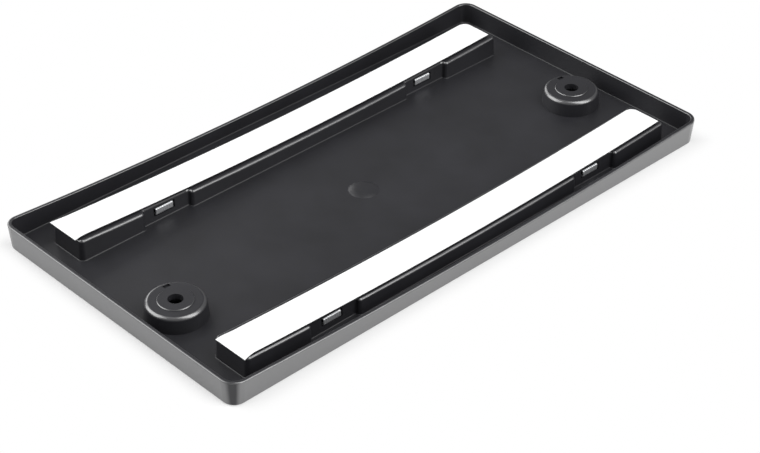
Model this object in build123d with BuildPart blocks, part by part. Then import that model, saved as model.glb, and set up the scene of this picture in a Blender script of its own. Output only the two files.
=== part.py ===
from build123d import *
from math import radians, sqrt, tan
import os

os.makedirs("parts", exist_ok=True)

# A holder for a 12 x 6 inch number plate, lying on its front face with the car side up.
# X runs along the plate, +Y towards its top edge, +Z towards the bumper. All sizes in millimetres.

# Shell: flat floor and leaning outer wall
holder_length = 319.4       # over the rim at the corners
holder_width = 171.2
rim_height = 13.7           # front face to the rim, at a corner
wall_lean = 5.1             # degrees
wall_thickness = 2.1
floor_thickness = 2.4
corner_radius = 6.5         # of the front outline, in plan
front_edge_radius = 0.8
rim_outer_radius = 0.8
rim_inner_radius = 0.4
floor_fillet = 0.6          # where walls rise from the floor

# Bumper face: the rim dips towards the middle of the long sides
face_dip = 4.55

# Ridges that carry the tape
ridge_length = 285.0        # at the floor
ridge_draft = 3.0           # degrees
ridge_wall = 1.6
ridge_rise = 0.95           # ridge top above the rim's surface
ridge_edge_radius = 1.2
ridge_corner_radius = 2.6   # of its upright corners

# Plate screws: the standard pattern of four
plate_screw_spacing_x = 177.8
plate_screw_spacing_y = 120.65
plate_screw_shift = -2.5    # middle of the pattern, along Y
screw_clearance_bore = 7.4

# Nut stations: a notch, a window and a tab in each ridge
notch_width = 28.6
notch_depth = 2.75
notch_outer_share = 0.73    # share of the depth that its outer rounds take, the inner ones take the rest
window_height = 4.6
window_clearance = 2.0      # beside the nut
tab_thickness = 1.8
rib_thickness = 2.0         # cross ribs that hold the tab

# U-nuts of spring strip
strip_thickness = 0.7
nut_width = 12.7
nut_reach = 16.4            # from the outside of the bend to the end of the legs
nut_end_room = 2.95         # between the legs and the far wall of the ridge
nut_bite = 10.4             # from the outside of the bend to the screw
nut_clearance = 0.05        # between a leg and the tab
nut_standout = 0.1          # bend in front of the foot of the notch
nut_headroom = 0.1          # between the collar and the top of the ridge
nut_bore = 5.0
nut_collar_diameter = 8.0
nut_collar_rise = 0.5
nut_lip_length = 1.8
nut_lip_angle = 15.0        # degrees

# Bosses for the bumper screws
boss_spacing = 270.9
boss_y = -17.25
boss_diameter = 28.2        # at its top
boss_draft = 4.0            # degrees
boss_height = 8.4           # above the floor
boss_wall = 2.4
boss_edge_radius = 1.3
collar_diameter = 17.6
collar_rise = 0.7
collar_chamfer = 0.3
bumper_screw_bore = 7.5
pocket_x = 3.4              # small pocket beside the collar, from the middle of the boss
pocket_y = 10.8
pocket_length = 3.6
pocket_width = 2.0
pocket_depth = 0.6

# Gate dome on the floor
gate_x = -2.5
gate_y = -2.2
gate_diameter = 16.0
gate_rise = 0.9

# Foam tapes and their release liners, laid by hand a little off the middle of the ridges
foam_length = 280.4
foam_width = 18.6
foam_thickness = 1.0
adhesive_film = 0.05        # on both sides of the foam
foam_shift_x = -1.3
liner_length = 283.0
liner_width = 19.9
liner_thickness = 0.2
liner_shift_x = -2.1
tape_shift_upper = 1.8
tape_shift_lower = -1.6

# Room that cutting shapes reach past what they cut
overrun = 10.0

# Places that follow from the sizes above
half_length = holder_length / 2
half_width = holder_width / 2
lean_slope = tan(radians(wall_lean))
front_length = holder_length - 2 * rim_height * lean_slope
front_width = holder_width - 2 * rim_height * lean_slope
floor_inset = wall_thickness - floor_thickness * lean_slope
blank_height = rim_height + ridge_rise + overrun
dip_middle = rim_height - face_dip
face_radius = (half_length**2 + face_dip**2) / (2 * face_dip)
ridge_width = notch_depth - nut_standout + nut_reach + nut_end_room + ridge_wall
notch_face = -ridge_width / 2 + notch_depth
bend_face = notch_face - nut_standout
screw_line = bend_face + nut_bite
ridge_y = {
    "upper": plate_screw_shift + plate_screw_spacing_y / 2 - screw_line,
    "lower": plate_screw_shift - plate_screw_spacing_y / 2 - screw_line,
}
tape_y = {"upper": ridge_y["upper"] + tape_shift_upper, "lower": ridge_y["lower"] + tape_shift_lower}
nut_x = {"left": -plate_screw_spacing_x / 2, "right": plate_screw_spacing_x / 2}
station_width = nut_width + 2 * window_clearance
leg_offset = tab_thickness / 2 + nut_clearance + strip_thickness / 2
bend_radius = leg_offset + strip_thickness / 2
nut_edge = plate_screw_spacing_x / 2 - nut_width / 2
nut_ceiling = dip_middle + nut_edge**2 / (2 * face_radius) + ridge_rise - ridge_wall
tab_middle = nut_ceiling - nut_headroom - nut_collar_rise - bend_radius
tab_edge = bend_face + bend_radius
tab_reach = ridge_width / 2 - ridge_wall / 2 - tab_edge
foam_bottom = ridge_rise + adhesive_film
foam_top = foam_bottom + foam_thickness
liner_bottom = foam_top + adhesive_film
boss_x = (-boss_spacing / 2, boss_spacing / 2)
boss_foot = boss_diameter / 2 + boss_height * tan(radians(boss_draft))
recess_depth = floor_thickness + boss_height - boss_wall

# Space beyond the curved face of the bumper
face_reach = half_length + overrun
face_end = dip_middle + face_radius - sqrt(face_radius**2 - face_reach**2)
with BuildPart() as bumper:
    with BuildSketch(Plane.XZ):
        with BuildLine():
            face_arc = ThreePointArc((-face_reach, face_end), (0, dip_middle), (face_reach, face_end))
            Polyline(
                face_arc @ 1,
                (face_reach, face_end + blank_height),
                (-face_reach, face_end + blank_height),
                face_arc @ 0,
            )
        make_face()
    extrude(amount=half_width + overrun, both=True)

# Outline of a ridge on the floor, with its two notches on the lower side
with BuildSketch() as ridge_outline:
    Rectangle(ridge_length, ridge_width)
    with Locations([(x, -ridge_width / 2) for x in nut_x.values()]):
        Rectangle(notch_width, 2 * notch_depth, mode=Mode.SUBTRACT)
    notch_edge = ridge_outline.vertices().group_by(Axis.Y)[0].sort_by(Axis.X)[1:-1]
    fillet(notch_edge, notch_depth * notch_outer_share)
    notch_back = ridge_outline.vertices().filter_by_position(Axis.Y, notch_face, notch_face)
    fillet(notch_back, notch_depth * (1 - notch_outer_share))
    ridge_ends = ridge_outline.vertices().group_by(Axis.X)
    fillet(ridge_ends[0] + ridge_ends[-1], ridge_corner_radius)

# Outside of each ridge: it leans in a little and its top follows the bumper
ridge_bodies = []
for y in ridge_y.values():
    with BuildPart() as ridge:
        with BuildSketch(Plane((0, y, floor_thickness))):
            add(ridge_outline.sketch)
        extrude(amount=blank_height, taper=ridge_draft)
        with Locations((0, 0, ridge_rise)):
            add(bumper.part, mode=Mode.SUBTRACT)
        fillet(ridge.faces().sort_by(Axis.Z)[-1].edges(), ridge_edge_radius)
    ridge_bodies.append(ridge.part)

# Hollow of each ridge, open to the front, with two ribs left standing across it at each nut
ridge_cores = []
for y in ridge_y.values():
    with BuildPart() as core:
        with BuildSketch(Plane((0, y, 0))):
            Rectangle(ridge_length - 2 * ridge_wall, ridge_width - 2 * ridge_wall)
            with Locations([(x, ridge_wall - ridge_width / 2) for x in nut_x.values()]):
                Rectangle(notch_width + 2 * ridge_wall, 2 * notch_depth, mode=Mode.SUBTRACT)
        extrude(amount=blank_height, taper=ridge_draft)
        with Locations((0, 0, ridge_rise - ridge_wall)):
            add(bumper.part, mode=Mode.SUBTRACT)
        for x in nut_x.values():
            with BuildSketch(Plane((x, y, 0))):
                with GridLocations(station_width + rib_thickness, 0, 2, 1):
                    Rectangle(rib_thickness, ridge_width)
            extrude(amount=blank_height, mode=Mode.SUBTRACT)
    ridge_cores.append(core.part)

# One boss: an upside-down cup with a raised collar round its screw hole
with BuildPart() as boss:
    with BuildSketch(Plane.XZ):
        with BuildLine():
            Polyline(
                (0, 0),
                (boss_foot + floor_fillet, 0),
                (boss_foot, floor_fillet),
                (boss_diameter / 2, boss_height),
                (collar_diameter / 2, boss_height),
                (collar_diameter / 2, boss_height + collar_rise),
                (0, boss_height + collar_rise),
                close=True,
            )
        make_face()
    revolve(axis=Axis.Z)
    boss_rings = boss.edges().filter_by(GeomType.CIRCLE).group_by(Axis.Z)
    fillet(boss_rings[-2].sort_by(SortBy.RADIUS)[-1], boss_edge_radius)
    chamfer(boss_rings[-1], collar_chamfer)
    with BuildSketch(Plane((pocket_x, pocket_y, boss_height))):
        Rectangle(pocket_length, pocket_width)
    extrude(amount=-pocket_depth, mode=Mode.SUBTRACT)

# The holder: shell, ridges, bosses and gate dome in one moulding
with BuildPart() as holder:
    with BuildSketch():
        RectangleRounded(front_length, front_width, corner_radius)
    extrude(amount=blank_height, taper=-wall_lean)
    add(bumper.part, mode=Mode.SUBTRACT)
    fillet(holder.faces().sort_by(Axis.Z)[0].edges(), front_edge_radius)
    with BuildSketch(Plane.XY.offset(floor_thickness)):
        RectangleRounded(
            front_length - 2 * floor_inset,
            front_width - 2 * floor_inset,
            corner_radius - floor_inset,
        )
    extrude(amount=blank_height, taper=-wall_lean, mode=Mode.SUBTRACT)
    rim_face = holder.faces().filter_by(GeomType.CYLINDER).sort_by(SortBy.AREA)[-1]
    fillet(rim_face.outer_wire().edges(), rim_outer_radius)
    rim_face = holder.faces().filter_by(GeomType.CYLINDER).sort_by(SortBy.AREA)[-1]
    fillet(rim_face.inner_wires()[0].edges(), rim_inner_radius)
    add(ridge_bodies)
    fillet(holder.edges().filter_by_position(Axis.Z, floor_thickness, floor_thickness), floor_fillet)
    with Locations([(x, boss_y, floor_thickness) for x in boss_x]):
        add(boss.part)

    # Gate dome: a shallow cap of a sphere
    with BuildSketch(Plane((gate_x, gate_y, floor_thickness), x_dir=(1, 0, 0), z_dir=(0, -1, 0))):
        with BuildLine():
            dome_arc = SagittaArc((-gate_diameter / 2, 0), (gate_diameter / 2, 0), gate_rise)
            Line(dome_arc @ 1, dome_arc @ 0)
        make_face()
        split(bisect_by=Plane.YZ)
    revolve(axis=Axis((gate_x, gate_y, 0), (0, 0, 1)))

    # Hollows from the front: both ridges, and a recess for the head of each bumper screw
    add(ridge_cores, mode=Mode.SUBTRACT)
    with Locations([Plane((x, boss_y, 0), z_dir=(0, 0, -1)) for x in boss_x]):
        CounterBoreHole(bumper_screw_bore / 2, boss_diameter / 2 - boss_wall, recess_depth)

    # Nut stations: a window through the face of each notch, and behind it the tab that a nut clips on
    for y in ridge_y.values():
        for x in nut_x.values():
            with BuildSketch(Plane((x, y + notch_face, tab_middle), x_dir=(1, 0, 0), z_dir=(0, 1, 0))):
                Rectangle(station_width, window_height)
            extrude(amount=nut_bite, mode=Mode.SUBTRACT)
            with BuildSketch(Plane((x, y, tab_middle - tab_thickness / 2))):
                with Locations((0, tab_edge)):
                    Rectangle(station_width + rib_thickness, tab_reach, align=(Align.CENTER, Align.MIN))
                with Locations((0, screw_line)):
                    Circle(screw_clearance_bore / 2, mode=Mode.SUBTRACT)
            extrude(amount=tab_thickness)

holder.part.label = "holder"
export_step(holder.part, "parts/holder.step")

# U-nuts: a strip bent round the tab, with flared lips and a threaded collar on the bumper side
for side, x in nut_x.items():
    for row, y in ridge_y.items():
        with BuildPart() as u_nut:
            with BuildSketch(Plane((x, y + bend_face, tab_middle), x_dir=(0, 1, 0), z_dir=(1, 0, 0))):
                with BuildLine():
                    bend = JernArc((bend_radius, leg_offset), (-1, 0), bend_radius - strip_thickness / 2, 180)
                    upper_leg = Line(bend @ 0, (nut_reach - nut_lip_length, leg_offset))
                    PolarLine(upper_leg @ 1, nut_lip_length, nut_lip_angle)
                    lower_leg = Line(bend @ 1, (nut_reach - nut_lip_length, -leg_offset))
                    PolarLine(lower_leg @ 1, nut_lip_length, -nut_lip_angle)
                trace(line_width=strip_thickness)
            extrude(amount=nut_width / 2, both=True)
            with BuildSketch(Plane((x, y + screw_line, tab_middle + leg_offset))):
                Circle(nut_collar_diameter / 2)
            extrude(amount=strip_thickness / 2 + nut_collar_rise)
            with Locations((x, y + screw_line, tab_middle + leg_offset)):
                Hole(nut_bore / 2)
        u_nut.part.label = f"u_nut_{side}_{row}"
        export_step(u_nut.part, f"parts/{u_nut.part.label}.step")

# Foam tapes and release liners: strips that follow the tops of the ridges
for row, y in tape_y.items():
    with BuildPart() as foam_tape:
        with BuildSketch(Plane((foam_shift_x, y, 0))):
            Rectangle(foam_length, foam_width)
        extrude(amount=blank_height)
        with Locations((0, 0, foam_bottom)):
            add(bumper.part, mode=Mode.INTERSECT)
        with Locations((0, 0, foam_top)):
            add(bumper.part, mode=Mode.SUBTRACT)
    foam_tape.part.label = f"foam_tape_{row}"
    export_step(foam_tape.part, f"parts/{foam_tape.part.label}.step")

    with BuildPart() as release_liner:
        with BuildSketch(Plane((liner_shift_x, y, 0))):
            Rectangle(liner_length, liner_width)
        extrude(amount=blank_height)
        with Locations((0, 0, liner_bottom)):
            add(bumper.part, mode=Mode.INTERSECT)
        with Locations((0, 0, liner_bottom + liner_thickness)):
            add(bumper.part, mode=Mode.SUBTRACT)
    release_liner.part.label = f"release_liner_{row}"
    export_step(release_liner.part, f"parts/{release_liner.part.label}.step")
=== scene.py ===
import random
from math import atan2, cos, pi, radians, sin, sqrt, tan

import bmesh
import bpy
from mathutils import Matrix, Vector


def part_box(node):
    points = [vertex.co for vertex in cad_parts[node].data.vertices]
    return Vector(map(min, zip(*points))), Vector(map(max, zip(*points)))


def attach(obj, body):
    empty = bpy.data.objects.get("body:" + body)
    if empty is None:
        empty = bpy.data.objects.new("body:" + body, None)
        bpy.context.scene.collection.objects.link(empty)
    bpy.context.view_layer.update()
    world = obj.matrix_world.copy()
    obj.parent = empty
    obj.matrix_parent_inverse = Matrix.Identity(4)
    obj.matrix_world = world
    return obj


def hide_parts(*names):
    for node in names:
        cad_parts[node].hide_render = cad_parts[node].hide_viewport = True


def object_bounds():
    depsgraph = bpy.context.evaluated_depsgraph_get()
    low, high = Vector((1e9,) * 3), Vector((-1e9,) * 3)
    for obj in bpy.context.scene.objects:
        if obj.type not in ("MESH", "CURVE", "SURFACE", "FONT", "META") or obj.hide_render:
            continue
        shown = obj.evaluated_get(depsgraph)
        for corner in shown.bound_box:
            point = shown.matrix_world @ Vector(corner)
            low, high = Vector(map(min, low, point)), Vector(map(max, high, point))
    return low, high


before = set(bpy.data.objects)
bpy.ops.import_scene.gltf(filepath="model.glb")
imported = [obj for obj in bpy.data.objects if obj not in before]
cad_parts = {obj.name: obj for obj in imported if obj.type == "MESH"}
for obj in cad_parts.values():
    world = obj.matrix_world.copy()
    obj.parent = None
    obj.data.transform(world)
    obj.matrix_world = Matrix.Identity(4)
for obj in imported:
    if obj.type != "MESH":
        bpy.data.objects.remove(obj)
cad_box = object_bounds()

# Holder: one black moulding, with the plate on its flat front and the bumper on its open back.
# It is injection moulded in polypropylene, in a mould whose faces were spark eroded.
# Everything else is pushed into it or stuck on it.

# Blender works in metres. Meshes are drawn in millimetres and scaled, and materials take sizes times this.
mm = 0.001


def linear(code):
    """Turns an sRGB hex colour into linear red, green, blue and alpha."""
    parts = [int(code[i:i + 2], 16) / 255 for i in (1, 3, 5)]
    return tuple(v / 12.92 if v <= 0.04045 else ((v + 0.055) / 1.055) ** 2.4 for v in parts) + (1.0,)


def add_node(tree, kind, settings=None, inputs=None):
    """Adds a node, sets its properties (a dot leads into a part), and fills its inputs or links them."""
    node = tree.nodes.new(kind)
    for name, value in (settings or {}).items():
        owner, _, last = name.rpartition(".")
        setattr(node.path_resolve(owner) if owner else node, last, value)
    for name, value in (inputs or {}).items():
        if isinstance(value, bpy.types.NodeSocket):
            tree.links.new(value, node.inputs[name])
        else:
            node.inputs[name].default_value = value
    return node


def new_material(name):
    """Starts an empty material, and gives it with its node tree."""
    material = bpy.data.materials.new(name)
    material.use_nodes = True
    material.node_tree.nodes.clear()
    return material, material.node_tree


# Spark erosion leaves a fine even grain, so the black shows a soft broad shine and no mirror image.
# The real grain is about 0.3 mm. It is drawn at 0.8 mm here, because a finer one can't show.
# The plastic's flow also leaves slow changes of gloss, each about 35 mm across.
# The mould's outer sides were polished by hand, the long ones most and the corners least, so they shine more.
# So do the rounded edges of the ridges and bosses, where the cutter left the mould smooth.
# The edges over the notches were eroded with the rest, and stay matt.
noise_low = 0.3
noise_high = 0.7
grain_size = 0.8 * mm
grain_depth = 0.012 * mm
flow_size = 35 * mm
smoothest = 0.38
roughest = 0.44
wall_slope = 0.0893
rim_height = 13.7 * mm
polish_start = -rim_height * wall_slope - 1.3 * mm
polish_full = -rim_height * wall_slope - 0.12 * mm
steep_below = 0.75
flat_above = 0.97
short_side_shine = 0.72
edges_start = 4.2 * mm
edges_full = 4.8 * mm
edge_tilt_start = 0.1
edge_tilt_full = 0.4
edge_fade_start = 0.93
edge_fade_full = 0.99
edge_shine = 0.85
outward_full = 20 * mm
notch_x = 88.9 * mm
notch_half = 13.3 * mm
ridges_end = 75 * mm
polypropylene, tree = new_material("black_polypropylene_spark_eroded")
place = add_node(tree, "ShaderNodeTexCoord")
grain = add_node(tree, "ShaderNodeTexNoise", inputs={
    "Vector": place.outputs["Object"], "Scale": 1 / grain_size, "Detail": 2.0, "Roughness": 0.55})
flow = add_node(tree, "ShaderNodeTexNoise", inputs={
    "Vector": place.outputs["Object"], "Scale": 1 / flow_size, "Detail": 3.0, "Roughness": 0.6})
shade = add_node(tree, "ShaderNodeValToRGB", {
    "color_ramp.elements[0].position": noise_low, "color_ramp.elements[0].color": linear("#242427"),
    "color_ramp.elements[1].position": noise_high, "color_ramp.elements[1].color": linear("#2a2a2e")}, {
    "Fac": flow.outputs["Fac"]})
gloss = add_node(tree, "ShaderNodeMapRange", inputs={
    "Value": flow.outputs["Fac"], "From Min": noise_low, "From Max": noise_high,
    "To Min": smoothest, "To Max": roughest})

# Where the polish is: only close to the outer faces of the leaning wall
folded = add_node(tree, "ShaderNodeVectorMath", {"operation": "ABSOLUTE"}, {0: place.outputs["Object"]})
leaning = add_node(tree, "ShaderNodeVectorMath", {"operation": "DOT_PRODUCT"}, {
    0: folded.outputs["Vector"], 1: (0.0, 0.0, -wall_slope)})
inset = add_node(tree, "ShaderNodeVectorMath", {"operation": "SUBTRACT"}, {
    0: folded.outputs["Vector"], 1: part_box("holder")[1]})
sides = add_node(tree, "ShaderNodeSeparateXYZ", inputs={0: inset.outputs["Vector"]})
nearest = add_node(tree, "ShaderNodeMath", {"operation": "MAXIMUM"}, {
    0: sides.outputs["X"], 1: sides.outputs["Y"]})
depth = add_node(tree, "ShaderNodeMath", {"operation": "ADD"}, {
    0: nearest.outputs["Value"], 1: leaning.outputs["Value"]})
polish = add_node(tree, "ShaderNodeMapRange", {"interpolation_type": "SMOOTHSTEP"}, {
    "Value": depth.outputs["Value"], "From Min": polish_start, "From Max": polish_full})

# How much the edges shine: where the surface turns from steep to flat, over the floor and off the notches
facing = add_node(tree, "ShaderNodeSeparateXYZ", inputs={0: place.outputs["Normal"]})
spot = add_node(tree, "ShaderNodeSeparateXYZ", inputs={0: place.outputs["Object"]})
tilted = add_node(tree, "ShaderNodeMapRange", {"interpolation_type": "SMOOTHSTEP"}, {
    "Value": facing.outputs["Z"], "From Min": edge_tilt_start, "From Max": edge_tilt_full})
not_flat = add_node(tree, "ShaderNodeMapRange", {"interpolation_type": "SMOOTHSTEP"}, {
    "Value": facing.outputs["Z"], "From Min": edge_fade_start, "From Max": edge_fade_full,
    "To Min": 1.0, "To Max": 0.0})
raised = add_node(tree, "ShaderNodeMapRange", inputs={
    "Value": spot.outputs["Z"], "From Min": edges_start, "From Max": edges_full, "To Max": edge_shine})
rounded = add_node(tree, "ShaderNodeMath", {"operation": "MULTIPLY"}, {
    0: tilted.outputs["Result"], 1: not_flat.outputs["Result"]})
from_middle = add_node(tree, "ShaderNodeSeparateXYZ", inputs={0: folded.outputs["Vector"]})
in_notch = add_node(tree, "ShaderNodeMath", {"operation": "COMPARE"}, {
    0: from_middle.outputs["X"], 1: notch_x, 2: notch_half})
near_side = add_node(tree, "ShaderNodeMath", {"operation": "LESS_THAN"}, {0: facing.outputs["Y"], 1: 0.0})
on_ridge = add_node(tree, "ShaderNodeMath", {"operation": "LESS_THAN"}, {
    0: spot.outputs["Y"], 1: ridges_end})
notch_side = add_node(tree, "ShaderNodeMath", {"operation": "MULTIPLY"}, {
    0: in_notch.outputs["Value"], 1: near_side.outputs["Value"]})
notch_edge = add_node(tree, "ShaderNodeMath", {"operation": "MULTIPLY"}, {
    0: notch_side.outputs["Value"], 1: on_ridge.outputs["Value"]})
smooth = add_node(tree, "ShaderNodeMath", {"operation": "SUBTRACT", "use_clamp": True}, {
    0: rounded.outputs["Value"], 1: notch_edge.outputs["Value"]})
edges = add_node(tree, "ShaderNodeMath", {"operation": "MULTIPLY"}, {
    0: smooth.outputs["Value"], 1: raised.outputs["Result"]})

# How much the outer sides shine: steep faces that look outwards, the long sides more than the short ones
upright = add_node(tree, "ShaderNodeMapRange", {"interpolation_type": "SMOOTHSTEP"}, {
    "Value": facing.outputs["Z"], "From Min": steep_below, "From Max": flat_above,
    "To Min": 1.0, "To Max": 0.0})
long_side = add_node(tree, "ShaderNodeMath", {"operation": "GREATER_THAN"}, {
    0: sides.outputs["Y"], 1: sides.outputs["X"]})
side_shine = add_node(tree, "ShaderNodeMapRange", inputs={
    "Value": long_side.outputs["Value"], "To Min": short_side_shine})
level_place = add_node(tree, "ShaderNodeVectorMath", {"operation": "MULTIPLY"}, {
    0: place.outputs["Object"], 1: (1.0, 1.0, 0.0)})
outward = add_node(tree, "ShaderNodeVectorMath", {"operation": "DOT_PRODUCT"}, {
    0: place.outputs["Normal"], 1: level_place.outputs["Vector"]})
outside_face = add_node(tree, "ShaderNodeMapRange", inputs={
    "Value": outward.outputs["Value"], "From Max": outward_full})
upright_outside = add_node(tree, "ShaderNodeMath", {"operation": "MULTIPLY"}, {
    0: upright.outputs["Result"], 1: outside_face.outputs["Result"]})
outer = add_node(tree, "ShaderNodeMath", {"operation": "MULTIPLY"}, {
    0: side_shine.outputs["Result"], 1: upright_outside.outputs["Value"]})
shine = add_node(tree, "ShaderNodeMix", inputs={
    "Factor": polish.outputs["Result"], "A": edges.outputs["Value"], "B": outer.outputs["Value"]})
relief = add_node(tree, "ShaderNodeBump", inputs={
    "Height": grain.outputs["Fac"], "Strength": 0.35, "Distance": grain_depth})
surface = add_node(tree, "ShaderNodeBsdfPrincipled", inputs={
    "Base Color": shade.outputs["Color"], "Roughness": gloss.outputs["Result"], "IOR": 1.5,
    "Coat Weight": shine.outputs["Result"], "Coat Roughness": 0.3, "Coat IOR": 2.3,
    "Normal": relief.outputs["Normal"]})
add_node(tree, "ShaderNodeOutputMaterial", inputs={"Surface": surface.outputs["BSDF"]})
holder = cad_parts["holder"]
holder.data.materials.clear()
holder.data.materials.append(polypropylene)

# Gate mark: the low round dome in the middle of the tray, where the plastic ran into the mould.
# It is the same moulding as the holder, and covers the plain cap that the holder has there.
# Its slope grows towards its edge, as a hand-cut hollow in a mould gives it.
gate_x = -2.5
gate_y = -2.2
gate_radius = 7.8
gate_rise = 1.35
gate_power = 3
gate_sunk = 0.3
gate_around = 96
gate_steps = 24
tray_floor = 2.4
crease = radians(40)


def finished_mesh(bm, name, smooth_below=None):
    """Turns a bmesh in millimetres into a mesh in metres, smooth where faces meet below an angle."""
    bmesh.ops.recalc_face_normals(bm, faces=bm.faces)
    bmesh.ops.scale(bm, vec=(mm, mm, mm), verts=bm.verts)
    mesh = bpy.data.meshes.new(name)
    bm.to_mesh(mesh)
    bm.free()
    if smooth_below is not None:
        mesh.shade_smooth()
        mesh.set_sharp_from_angle(angle=smooth_below)
    return mesh


def new_object(name, data):
    """Puts a mesh, lamp or camera into the scene."""
    obj = bpy.data.objects.new(name, data)
    bpy.context.collection.objects.link(obj)
    return obj


def join_rows(bm, rows, closed=False):
    """Joins neighbouring rows of vertices with faces, and a closed row's end with its start."""
    for a, b in zip(rows, rows[1:]):
        for i in range(len(a) if closed else len(a) - 1):
            j = (i + 1) % len(a)
            bm.faces.new((a[i], a[j], b[j], b[i]))


gate_profile = [(gate_radius, -gate_sunk)]
for step in range(gate_steps):
    share = 1 - step / gate_steps
    gate_profile.append((gate_radius * share, gate_rise * (1 - share**gate_power)))
bm = bmesh.new()
rows = []
for radius, lift in gate_profile:
    row = []
    for i in range(gate_around):
        turn = 2 * pi * i / gate_around
        x = gate_x + radius * cos(turn)
        y = gate_y + radius * sin(turn)
        row.append(bm.verts.new((x, y, tray_floor + lift)))
    rows.append(row)
join_rows(bm, rows, closed=True)
bm.faces.new(rows[0])
bm.faces.new(rows[-1])
gate_mark = new_object("gate_mark", finished_mesh(bm, "gate_mark", smooth_below=crease))
gate_mark.data.materials.append(polypropylene)
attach(gate_mark, "root")

# Boss shells: the outsides of the two round screw bosses, part of the same moulding as the holder.
# Each lies close over the plain boss that the holder has, and its top edge is rounded more widely.
# The small pocket beside the collar stays open.
boss_x = 135.45
boss_y = -17.25
boss_top = 11.1
boss_top_radius = 14.4
boss_foot_radius = 15.35
boss_round = 2.2
boss_round_steps = 16
boss_wall_rows = (0.0, 0.5, 0.95)
boss_round_row = 0.1
boss_collar = 8.85
boss_collar_row = 0.5
boss_inside = 12.8
boss_sunk = 0.3
boss_thickness = 0.6
boss_around = 160
boss_crease = radians(30)
pocket_x = 3.4
pocket_y = 10.8
pocket_length = 3.6
pocket_width = 2.0
pocket_punch = 2.0


def cut_mesh(blank, punches):
    """Cuts punch objects out of a blank, clears all of them away, and gives the mesh that is left."""
    for punch in punches:
        cut = blank.modifiers.new("cut", "BOOLEAN")
        cut.operation = "DIFFERENCE"
        cut.solver = "EXACT"
        cut.object = punch
    mesh = bpy.data.meshes.new_from_object(blank.evaluated_get(bpy.context.evaluated_depsgraph_get()))
    for used in (blank, *punches):
        bpy.data.objects.remove(used)
    return mesh


# The hollows for the bosses were turned in the mould, so their rounds are smoother and shine more.
boss_shine = 1.0
turned_plastic = polypropylene.copy()
turned_plastic.name = "black_polypropylene_turned"
turned_plastic.node_tree.nodes[raised.name].inputs["To Max"].default_value = boss_shine

# Outline of a shell from the side: foot, leaning wall, round, top and the step at the collar
boss_lean = atan2(boss_foot_radius - boss_top_radius, boss_top - tray_floor)
round_z = boss_top - boss_round
round_end = round_z + boss_round * sin(boss_lean)
wall_end = boss_top_radius + (boss_top - round_end) * tan(boss_lean)
round_r = wall_end - boss_round * cos(boss_lean)
boss_profile = [(boss_inside, tray_floor - boss_sunk), (boss_foot_radius, tray_floor - boss_sunk)]
for share in boss_wall_rows:
    boss_profile.append((boss_foot_radius + (wall_end - boss_foot_radius) * share,
                         tray_floor + (round_end - tray_floor) * share))
for step in range(boss_round_steps + 1):
    turn = boss_lean + (pi / 2 - boss_lean) * step / boss_round_steps
    boss_profile.append((round_r + boss_round * cos(turn), round_z + boss_round * sin(turn)))
boss_profile += [(round_r - boss_round_row, boss_top), (boss_collar + boss_collar_row, boss_top)]
boss_profile += [(boss_collar, boss_top), (boss_collar, boss_top - boss_thickness)]
boss_profile.append((boss_inside, boss_top - boss_thickness))
for side, x_middle in (("left", -boss_x), ("right", boss_x)):
    bm = bmesh.new()
    rows = []
    for i in range(boss_around):
        turn = 2 * pi * i / boss_around
        row = []
        for radius, z in boss_profile:
            row.append(bm.verts.new((x_middle + radius * cos(turn), boss_y + radius * sin(turn), z)))
        rows.append(row)
    join_rows(bm, rows + rows[:1], closed=True)
    blank = new_object("blank", finished_mesh(bm, "blank"))
    bm = bmesh.new()
    pocket_place = Matrix.Translation((x_middle + pocket_x, boss_y + pocket_y, boss_top))
    pocket_size = Matrix.Diagonal((pocket_length, pocket_width, pocket_punch, 1.0))
    bmesh.ops.create_cube(bm, size=1.0, matrix=pocket_place @ pocket_size)
    punch = new_object("punch", finished_mesh(bm, "punch"))
    shell_mesh = cut_mesh(blank, [punch])
    shell_mesh.shade_smooth()
    shell_mesh.set_sharp_from_angle(angle=boss_crease)
    shell = new_object(f"boss_shell_{side}", shell_mesh)
    shell_mesh.materials.clear()
    shell_mesh.materials.append(turned_plastic)
    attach(shell, "root")

# Window cheeks: the sides of the four windows in the ridges, part of the same moulding as the holder.
# Each pair stands in a window that the holder has, flush with the face of its notch.
# They make the window as narrow as the real one, with a small gap at both sides of the nut.
window_width = 16.7
window_height = 4.6
window_gap = 1.0
window_under_collar = 2.15
notch_lean = radians(3)
notch_behind_nut = 0.1
cheek_depth = 1.4
cheek_sunk = 0.3
cheek_set_back = 0.05
cheek_round = 0.3
cheek_round_steps = 4
nut_width = 10.8

# How far each nut stands along the holder from the middle of its tab
nut_slides = {"left_upper": -0.95, "left_lower": -0.1, "right_upper": -0.95, "right_lower": -0.95}
for place_name, slide in nut_slides.items():
    low, high = (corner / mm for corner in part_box(f"u_nut_{place_name}"))
    middle_x = (low.x + high.x) / 2
    middle_z = high.z - window_under_collar
    bm = bmesh.new()
    free_edges = []
    for side in (-1, 1):
        inner = middle_x + slide + side * (nut_width / 2 + window_gap)
        outer = middle_x + side * (window_width / 2 + cheek_sunk)
        rows = []
        for end in (-1, 1):
            z = middle_z + end * (window_height / 2 + cheek_sunk)
            front = low.y + notch_behind_nut + (z - tray_floor) * tan(notch_lean) + cheek_set_back
            back = front + cheek_depth
            corners = ((inner, front), (outer, front), (outer, back), (inner, back))
            rows.append([bm.verts.new((x, y, z)) for x, y in corners])
        join_rows(bm, rows, closed=True)
        bm.faces.new(rows[0])
        bm.faces.new(rows[1])
        free_edges.append(bm.edges.get((rows[0][0], rows[1][0])))
    bmesh.ops.bevel(bm, geom=free_edges, offset=cheek_round, segments=cheek_round_steps, profile=0.5,
                    affect="EDGES")
    cheek_mesh = finished_mesh(bm, f"window_cheeks_{place_name}", smooth_below=crease)
    cheeks = new_object(f"window_cheeks_{place_name}", cheek_mesh)
    cheeks.data.materials.append(polypropylene)
    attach(cheeks, "root")

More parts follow.
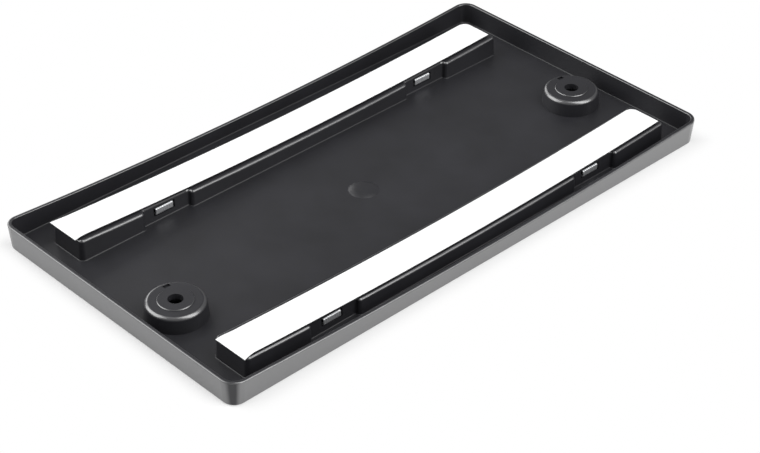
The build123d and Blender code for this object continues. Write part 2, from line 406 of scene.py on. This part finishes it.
# Clip nuts: four U-nuts, each stamped and bent from a spring-steel strip and zinc plated.
# Each is pushed through a window in a ridge until its two legs grip the tab behind.
# The leg on the bumper side has a drawn collar with an M6 thread for a screw of the plate.
strip = 0.7
leg_middle = 1.3
lip_start = 14.6
lip_length = 1.8
lip_angle = radians(15)
lip_steps = 3
bulge_start = 3.4
bulge_middle = 1.55
bend_round = 0.5
bend_steps = 10
screw_place = 10.4
rib_pitch = 1.35
rib_depth = 0.2
rib_step = 0.12
edge_band = 0.3
nut_crease = radians(35)

# Rounded edges of the strip: steps in from the edge, and how much each face loses there
edge_round = ((0.0, 0.12), (0.03, 0.06), (0.08, 0.02), (0.14, 0.0))

# Middle line of the strip from the side: lip, leg, bend, leg, lip, each point with its outward turn
lip_line = []
for step in range(lip_steps + 1):
    along = lip_length * step / lip_steps
    lip_line.append((lip_start + along * cos(lip_angle), leg_middle + along * sin(lip_angle)))
lower_half = [(y, -z, -pi / 2, 0.0) for y, z in reversed(lip_line)]
lower_half.append((bulge_start, -leg_middle, -pi / 2, 0.0))
for step in range(bend_steps + 1):
    share = step / bend_steps
    turn = -pi / 2 * (1 + share)
    y = strip / 2 + bend_round * (1 + cos(turn))
    lower_half.append((y, bend_round * (1 + sin(turn)) - bulge_middle, turn, share))
line = lower_half + [(y, -z, -turn, bent) for y, z, turn, bent in reversed(lower_half)]

# Stations across the strip: rounded edges, and between them steps fine enough for the ribs of the bend
inner_width = nut_width - 2 * edge_band
rib_steps = round(inner_width / rib_step)
stations = [(inset - nut_width / 2, cut) for inset, cut in edge_round]
stations += [(inner_width * (i / rib_steps - 0.5), 0.0) for i in range(rib_steps + 1)]
stations += [(nut_width / 2 - inset, cut) for inset, cut in reversed(edge_round)]
bm = bmesh.new()
outside, inside = [], []
for x, cut in stations:
    groove = rib_depth * (0.5 + 0.5 * cos(2 * pi * x / rib_pitch))
    for rows, side in ((outside, 1), (inside, -1)):
        row = []
        for y, z, turn, bent in line:
            off = side * (strip / 2 - cut) - (groove * sqrt(bent) if side > 0 else 0.0)
            row.append(bm.verts.new((x, y + off * cos(turn), z + off * sin(turn))))
        rows.append(row)
join_rows(bm, outside)
join_rows(bm, inside)
for end in (0, -1):
    join_rows(bm, [outside[end], inside[end]])
    join_rows(bm, [[row[end] for row in outside], [row[end] for row in inside]])
blank = new_object("blank", finished_mesh(bm, "blank"))

# The strip is pierced twice: a wide hole for the collar in one leg, a plain one in the other
collar_hole = 3.62
plain_hole = 2.5
punch_length = 1.6
punch_around = 64
punches = []
for radius, z in ((collar_hole, leg_middle), (plain_hole, -leg_middle)):
    bm = bmesh.new()
    bmesh.ops.create_cone(bm, cap_ends=True, segments=punch_around, radius1=radius, radius2=radius,
                          depth=punch_length, matrix=Matrix.Translation((0, screw_place, z)))
    punches.append(new_object("punch", finished_mesh(bm, "punch")))
pierced = cut_mesh(blank, punches)

# The drawn collar: a ring that flares into the leg, with the thread inside
thread_core = 2.5
thread_depth = 0.42
thread_pitch = 1.0
thread_steps = 24
thread_lead = thread_pitch / 4
collar_around = 96
collar_rise = 0.5
collar_bottom = leg_middle - strip / 2
leg_top = leg_middle + strip / 2
collar_top = leg_top + collar_rise
collar_outside = (
    (3.3, collar_top), (3.78, collar_top), (3.93, collar_top - 0.05), (3.99, collar_top - 0.16),
    (4.0, leg_top + 0.25), (4.04, leg_top + 0.13), (4.14, leg_top + 0.04), (4.3, leg_top + 0.002),
    (4.3, leg_top - 0.03), (3.63, leg_top - 0.1), (3.63, collar_bottom), (3.3, collar_bottom))
bm = bmesh.new()
bm.from_mesh(pierced)
bmesh.ops.scale(bm, vec=(1 / mm, 1 / mm, 1 / mm), verts=bm.verts)
rows = []
for i in range(collar_around):
    turn = 2 * pi * i / collar_around
    profile = list(collar_outside)
    for step in range(thread_steps + 1):
        z = collar_bottom + (collar_top - collar_bottom) * step / thread_steps
        phase = ((z - collar_bottom) / thread_pitch - i / collar_around) % 1.0
        lead = max(0.0, 1 - min(z - collar_bottom, collar_top - z) / thread_lead)
        profile.append((thread_core + thread_depth * max(abs(2 * phase - 1), lead), z))
    rows.append([bm.verts.new((r * cos(turn), screw_place + r * sin(turn), z)) for r, z in profile])
join_rows(bm, rows + rows[:1], closed=True)
nut_mesh = finished_mesh(bm, "clip_nut", smooth_below=nut_crease)

# Zinc over rolled strip is a bright grey metal, streaked along the way that the strip was rolled.
# The streaks are about 0.1 mm apart. They are drawn 0.5 mm apart and ten times as long.
streak_width = 0.5 * mm
streak_stretch = 0.1
streak_depth = 0.01 * mm
streak_rough = 0.6
streak_smooth = 0.5
zinc, tree = new_material("zinc_plated_spring_steel_rolled")
place = add_node(tree, "ShaderNodeTexCoord")
stretch = add_node(tree, "ShaderNodeMapping", inputs={
    "Vector": place.outputs["Object"], "Scale": (1.0, streak_stretch, streak_stretch)})
streak = add_node(tree, "ShaderNodeTexNoise", inputs={
    "Vector": stretch.outputs["Vector"], "Scale": 1 / streak_width, "Detail": 3.0})
tone = add_node(tree, "ShaderNodeValToRGB", {
    "color_ramp.elements[0].position": noise_low, "color_ramp.elements[0].color": linear("#d0d2d5"),
    "color_ramp.elements[1].position": noise_high, "color_ramp.elements[1].color": linear("#f2f3f4")}, {
    "Fac": streak.outputs["Fac"]})
gloss = add_node(tree, "ShaderNodeMapRange", inputs={
    "Value": streak.outputs["Fac"], "From Min": noise_low, "From Max": noise_high,
    "To Min": streak_rough, "To Max": streak_smooth})
relief = add_node(tree, "ShaderNodeBump", inputs={
    "Height": streak.outputs["Fac"], "Strength": 0.2, "Distance": streak_depth})
surface = add_node(tree, "ShaderNodeBsdfPrincipled", inputs={
    "Base Color": tone.outputs["Color"], "Metallic": 1.0, "Roughness": gloss.outputs["Result"],
    "Normal": relief.outputs["Normal"]})
add_node(tree, "ShaderNodeOutputMaterial", inputs={"Surface": surface.outputs["BSDF"]})
nut_mesh.materials.clear()
nut_mesh.materials.append(zinc)
for place_name, slide in nut_slides.items():
    low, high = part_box(f"u_nut_{place_name}")
    nut = new_object(f"clip_nut_{place_name}", nut_mesh.copy())
    nut.location = ((low.x + high.x) / 2 + slide * mm, low.y, high.z - collar_top * mm)
    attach(nut, "root")
    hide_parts(f"u_nut_{place_name}")

# Foam tapes: two strips of black closed-cell foam, sticky on both sides, cut from a roll with a knife.
# One lies along the top of each ridge, and will hold the holder to the bumper.
# The cut sides bulge a little and waver, and the left end bends down over the end of the ridge.
face_radius = 2804.92
foam_thickness = 1.0
foam_width = 17.0
foam_bulge = 0.08
foam_waver = 0.09
foam_droop = 0.2
foam_droop_length = 2.5
foam_steps = 240
foam_knots = 40
foam_across = 8
foam_seeds = {"upper": 3, "lower": 8}

# How far each tape lies off the middle of its ridge, at its left end and at its right end
tape_lay = {"upper": (-0.9, -1.1), "lower": (0.4, 1.25)}

# Rows up a cut side: share of the thickness, and share of the bulge
foam_rounds = ((0.0, 0.0), (0.08, 0.75), (0.3, 0.95), (0.55, 1.0), (0.8, 0.9), (0.96, 0.7), (1.0, 0.0))


def rise(x):
    """Height of the bumper's curve over its lowest line, at a place along the length."""
    return face_radius - sqrt(face_radius**2 - x**2)


# Closed-cell foam shows pinholes about 0.4 mm across on its cut sides, and hardly any shine. The middle of
# each pit is coloured darker, which is painted shade inside the pits, on top of their bump.
cell_size = 0.4 * mm
cell_depth = 0.1 * mm
pit_shade_stop = 0.1
cell_rim = 0.6
foam_black, tree = new_material("black_polyethylene_foam_knife_cut")
place = add_node(tree, "ShaderNodeTexCoord")
cells = add_node(tree, "ShaderNodeTexVoronoi", inputs={
    "Vector": place.outputs["Object"], "Scale": 1 / cell_size})
# The ramp darkens the foam towards each pit's middle: painted shade in the pits.
tone = add_node(tree, "ShaderNodeValToRGB", {
    "color_ramp.elements[0].position": pit_shade_stop, "color_ramp.elements[0].color": linear("#0c0c0d"),
    "color_ramp.elements[1].position": cell_rim, "color_ramp.elements[1].color": linear("#1a1a1b")}, {
    "Fac": cells.outputs["Distance"]})
relief = add_node(tree, "ShaderNodeBump", inputs={
    "Height": cells.outputs["Distance"], "Strength": 0.6, "Distance": cell_depth})
surface = add_node(tree, "ShaderNodeBsdfPrincipled", inputs={
    "Base Color": tone.outputs["Color"], "Roughness": 0.85, "IOR": 1.5, "Normal": relief.outputs["Normal"]})
add_node(tree, "ShaderNodeOutputMaterial", inputs={"Surface": surface.outputs["BSDF"]})
for row, seed in foam_seeds.items():
    low, high = (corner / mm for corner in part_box(f"foam_tape_{row}"))
    lay_left, lay_right = tape_lay[row]
    draw = random.Random(seed)
    knots = [[draw.uniform(-1, 1) for _ in range(foam_knots)] for _ in range(2)]
    bm = bmesh.new()
    rows = []
    for i in range(foam_steps + 1):
        share = i / foam_steps
        x = low.x + (high.x - low.x) * share
        cuts = []
        for side in knots:
            k, part = divmod(share * (foam_knots - 2), 1)
            ease = part * part * (3 - 2 * part)
            cuts.append(foam_waver * (side[int(k)] * (1 - ease) + side[int(k) + 1] * ease))
        bend = max(0.0, 1 - (x - low.x) / foam_droop_length)
        floor = low.z + rise(x) - foam_droop * bend**2
        middle = (low.y + high.y) / 2 + lay_left + (lay_right - lay_left) * share
        near, far = [], []
        for level, swell in foam_rounds:
            half = foam_width / 2 - foam_bulge * (1 - swell)
            near.append((middle + cuts[0] - half, floor + foam_thickness * level))
            far.append((middle + cuts[1] + half, floor + foam_thickness * level))
        inner = [k / foam_across for k in range(1, foam_across)]
        under = [(far[0][0] + (near[0][0] - far[0][0]) * k, floor) for k in inner]
        over = [(near[-1][0] + (far[-1][0] - near[-1][0]) * k, floor + foam_thickness) for k in inner]
        rows.append([bm.verts.new((x, y, z)) for y, z in near + over + far[::-1] + under])
    join_rows(bm, rows, closed=True)
    bm.faces.new(rows[0])
    bm.faces.new(rows[-1])
    foam = new_object(f"foam_strip_{row}", finished_mesh(bm, f"foam_strip_{row}", smooth_below=crease))
    foam.data.materials.append(foam_black)
    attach(foam, "root")
    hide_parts(f"foam_tape_{row}")

# Release papers: two strips of thin white paper, siliconised, that cover the tapes until they are used.
# Each was cut with its tape, and stands a little past the foam on all sides.
# The left end hangs down past the ridge, and one corner of the right end is rounded.
paper_thickness = 0.15
paper_width = 18.4
paper_steps = 220
paper_across = 24
paper_crowding = 0.4
corner_round = 4.5
end_room = 8.0
end_power = 4
wave_length = 16.0

# Left ends: how far each hangs, how far its two corners spread, and how high its ripple is
paper_ends = {
    "upper": {"droop": 0.6, "tip": 1.0, "flare": 0.6, "wave": 0.1},
    "lower": {"droop": 0.6, "tip": 0.5, "flare": 1.2, "wave": 0.3},
}

# Siliconised paper is bright white with a faint satin shine. Its fibres clump about 1.5 mm across.
clump_size = 1.5 * mm
clump_depth = 0.01 * mm
clump_rough = 0.5
clump_smooth = 0.42
paper_white, tree = new_material("white_siliconised_paper_calendered")
place = add_node(tree, "ShaderNodeTexCoord")
clump = add_node(tree, "ShaderNodeTexNoise", inputs={
    "Vector": place.outputs["Object"], "Scale": 1 / clump_size, "Detail": 4.0, "Roughness": 0.6})
tone = add_node(tree, "ShaderNodeValToRGB", {
    "color_ramp.elements[0].position": noise_low, "color_ramp.elements[0].color": linear("#f3f4f5"),
    "color_ramp.elements[1].position": noise_high, "color_ramp.elements[1].color": linear("#f8f8f8")}, {
    "Fac": clump.outputs["Fac"]})
gloss = add_node(tree, "ShaderNodeMapRange", inputs={
    "Value": clump.outputs["Fac"], "From Min": noise_low, "From Max": noise_high,
    "To Min": clump_rough, "To Max": clump_smooth})
relief = add_node(tree, "ShaderNodeBump", inputs={
    "Height": clump.outputs["Fac"], "Strength": 0.15, "Distance": clump_depth})
surface = add_node(tree, "ShaderNodeBsdfPrincipled", inputs={
    "Base Color": tone.outputs["Color"], "Roughness": gloss.outputs["Result"], "IOR": 1.45,
    "Normal": relief.outputs["Normal"]})
add_node(tree, "ShaderNodeOutputMaterial", inputs={"Surface": surface.outputs["BSDF"]})
for row, end in paper_ends.items():
    low, high = (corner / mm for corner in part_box(f"release_liner_{row}"))
    lay_left, lay_right = tape_lay[row]
    bm = bmesh.new()
    bottom, top = [], []
    for i in range(paper_steps + 1):
        share = i / paper_steps
        share += paper_crowding * (share * share * (3 - 2 * share) - share)
        line_below, line_above = [], []
        for k in range(paper_across + 1):
            across = 0.5 - 0.5 * cos(pi * k / paper_across)
            middle = (low.y + high.y) / 2 + lay_left + (lay_right - lay_left) * share
            y = middle + paper_width * (across - 0.5)
            into = max(0.0, corner_round - paper_width * (1 - across))
            x_end = high.x - corner_round + sqrt(corner_round**2 - into**2)
            x = low.x + (x_end - low.x) * share
            bend = max(0.0, 1 - (x - low.x) / end_room)
            ripple = max(0.0, 1 - (x - low.x) / wave_length) * sin(2 * pi * (x - low.x) / wave_length)
            y += bend**2 * (end["tip"] * across**end_power - end["flare"] * (1 - across)**end_power)
            z = low.z + rise(x) - end["droop"] * bend**2 + end["wave"] * across * ripple
            line_below.append(bm.verts.new((x, y, z)))
            line_above.append(bm.verts.new((x, y, z + paper_thickness)))
        bottom.append(line_below)
        top.append(line_above)
    join_rows(bm, bottom)
    join_rows(bm, top)
    for edge in (0, -1):
        join_rows(bm, [bottom[edge], top[edge]])
        join_rows(bm, [[r[edge] for r in bottom], [r[edge] for r in top]])
    paper_mesh = finished_mesh(bm, f"release_paper_{row}", smooth_below=crease)
    paper = new_object(f"release_paper_{row}", paper_mesh)
    paper.data.materials.append(paper_white)
    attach(paper, "root")
    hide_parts(f"release_liner_{row}")

# Studio: the holder lies on a sheet of white paper under soft light, as in a catalogue.
# Near the holder the paper is plain and takes its shadow, and further off it is even white.
# A large softbox hangs at the back left, a tall one over the front, and a small one stands behind.
sweep_size = 4.0
sweep_cells = 8
sweep_gap = 0.05 * mm
fade_start = -12 * mm
fade_end = 13 * mm
bm = bmesh.new()
bmesh.ops.create_grid(bm, x_segments=sweep_cells, y_segments=sweep_cells, size=sweep_size / mm / 2)
sweep = new_object("paper_sweep", finished_mesh(bm, "paper_sweep"))
sweep.location = (0, 0, cad_box[0][2] - sweep_gap)

# Matt paper has no shine. Away from the holder the eye, and what shines on the holder, see it as white.
sweep_white, tree = new_material("white_studio_paper_matt")
point = add_node(tree, "ShaderNodeNewGeometry")
folded = add_node(tree, "ShaderNodeVectorMath", {"operation": "ABSOLUTE"}, {0: point.outputs["Position"]})
half_size = [max(abs(cad_box[0][axis]), abs(cad_box[1][axis])) for axis in range(2)]
beyond = add_node(tree, "ShaderNodeVectorMath", {"operation": "SUBTRACT"}, {
    0: folded.outputs["Vector"], 1: (half_size[0], half_size[1], 1.0)})
outward = add_node(tree, "ShaderNodeVectorMath", {"operation": "MAXIMUM"}, {0: beyond.outputs["Vector"]})
away = add_node(tree, "ShaderNodeVectorMath", {"operation": "LENGTH"}, {0: outward.outputs["Vector"]})
sides = add_node(tree, "ShaderNodeSeparateXYZ", inputs={0: beyond.outputs["Vector"]})
nearest = add_node(tree, "ShaderNodeMath", {"operation": "MAXIMUM"}, {
    0: sides.outputs["X"], 1: sides.outputs["Y"]})
under = add_node(tree, "ShaderNodeMath", {"operation": "MINIMUM"}, {0: nearest.outputs["Value"], 1: 0.0})
distance = add_node(tree, "ShaderNodeMath", {"operation": "ADD"}, {
    0: away.outputs["Value"], 1: under.outputs["Value"]})
fade = add_node(tree, "ShaderNodeMapRange", {"interpolation_type": "SMOOTHSTEP"}, {
    "Value": distance.outputs["Value"], "From Min": fade_start, "From Max": fade_end})
ray = add_node(tree, "ShaderNodeLightPath")
mirrored = add_node(tree, "ShaderNodeMath", {"operation": "MAXIMUM"}, {
    0: ray.outputs["Is Camera Ray"], 1: ray.outputs["Is Glossy Ray"]})
seen = add_node(tree, "ShaderNodeMath", {"operation": "MAXIMUM"}, {
    0: mirrored.outputs["Value"], 1: ray.outputs["Is Transmission Ray"]})
white_share = add_node(tree, "ShaderNodeMath", {"operation": "MULTIPLY"}, {
    0: seen.outputs["Value"], 1: fade.outputs["Result"]})
plain = add_node(tree, "ShaderNodeBsdfDiffuse", inputs={"Color": linear("#f6f6f6")})
white = add_node(tree, "ShaderNodeEmission", inputs={"Color": linear("#ffffff"), "Strength": 1.0})
merged = add_node(tree, "ShaderNodeMixShader", inputs={
    "Fac": white_share.outputs["Value"], 1: plain.outputs["BSDF"], 2: white.outputs["Emission"]})
add_node(tree, "ShaderNodeOutputMaterial", inputs={"Surface": merged.outputs["Shader"]})
sweep.data.materials.append(sweep_white)

# The room's walls are white and dim. Each softbox has its place, its width and height, and its power.
room_strength = 0.25
room = bpy.data.worlds.new("studio_room")
room.use_nodes = True
room.node_tree.nodes["Background"].inputs["Color"].default_value = linear("#ffffff")
room.node_tree.nodes["Background"].inputs["Strength"].default_value = room_strength
bpy.context.scene.world = room
lamps = (
    ("left_softbox", (-0.83, 0.88, 0.82), (1.6, 1.6), 22.0),
    ("front_softbox", (0.35, -0.93, 1.08), (1.0, 2.0), 21.0),
    ("back_softbox", (0.3, 1.38, 0.5), (0.7, 0.7), 3.4),
)
for name, hung, size, power in lamps:
    light = bpy.data.lights.new(name, "AREA")
    light.shape = "RECTANGLE"
    light.size, light.size_y = size
    light.energy = power
    lamp = new_object(name, light)
    lamp.location = hung
    lamp.rotation_euler = Vector(hung).to_track_quat("Z", "Y").to_euler()
bpy.context.scene.view_settings.view_transform = "Standard"

# Camera: it looks down on the back of the holder from the near left, from about a metre away.
# Its angles and place come from the rim, the ridges and the nuts in the photograph.
# The place is given along its own axes: right, up and back.
azimuth = radians(-43.994)
elevation = radians(35.388)
roll = radians(0.513)
camera_place = (7.893, -18.403, 1040.019)
camera_lens = 97.739
back = Vector((sin(azimuth) * cos(elevation), -cos(azimuth) * cos(elevation), sin(elevation)))
right = Vector((0, 0, 1)).cross(back).normalized()
up = back.cross(right)
right, up = cos(roll) * right + sin(roll) * up, cos(roll) * up - sin(roll) * right
axes = Matrix((right, up, back)).transposed()
lens = bpy.data.cameras.new("camera")
lens.sensor_width = 36.0
lens.lens = camera_lens
lens.clip_start = 0.01
camera = new_object("camera", lens)
camera.matrix_world = Matrix.Translation(axes @ Vector(camera_place) * mm) @ axes.to_4x4()
bpy.context.scene.camera = camera
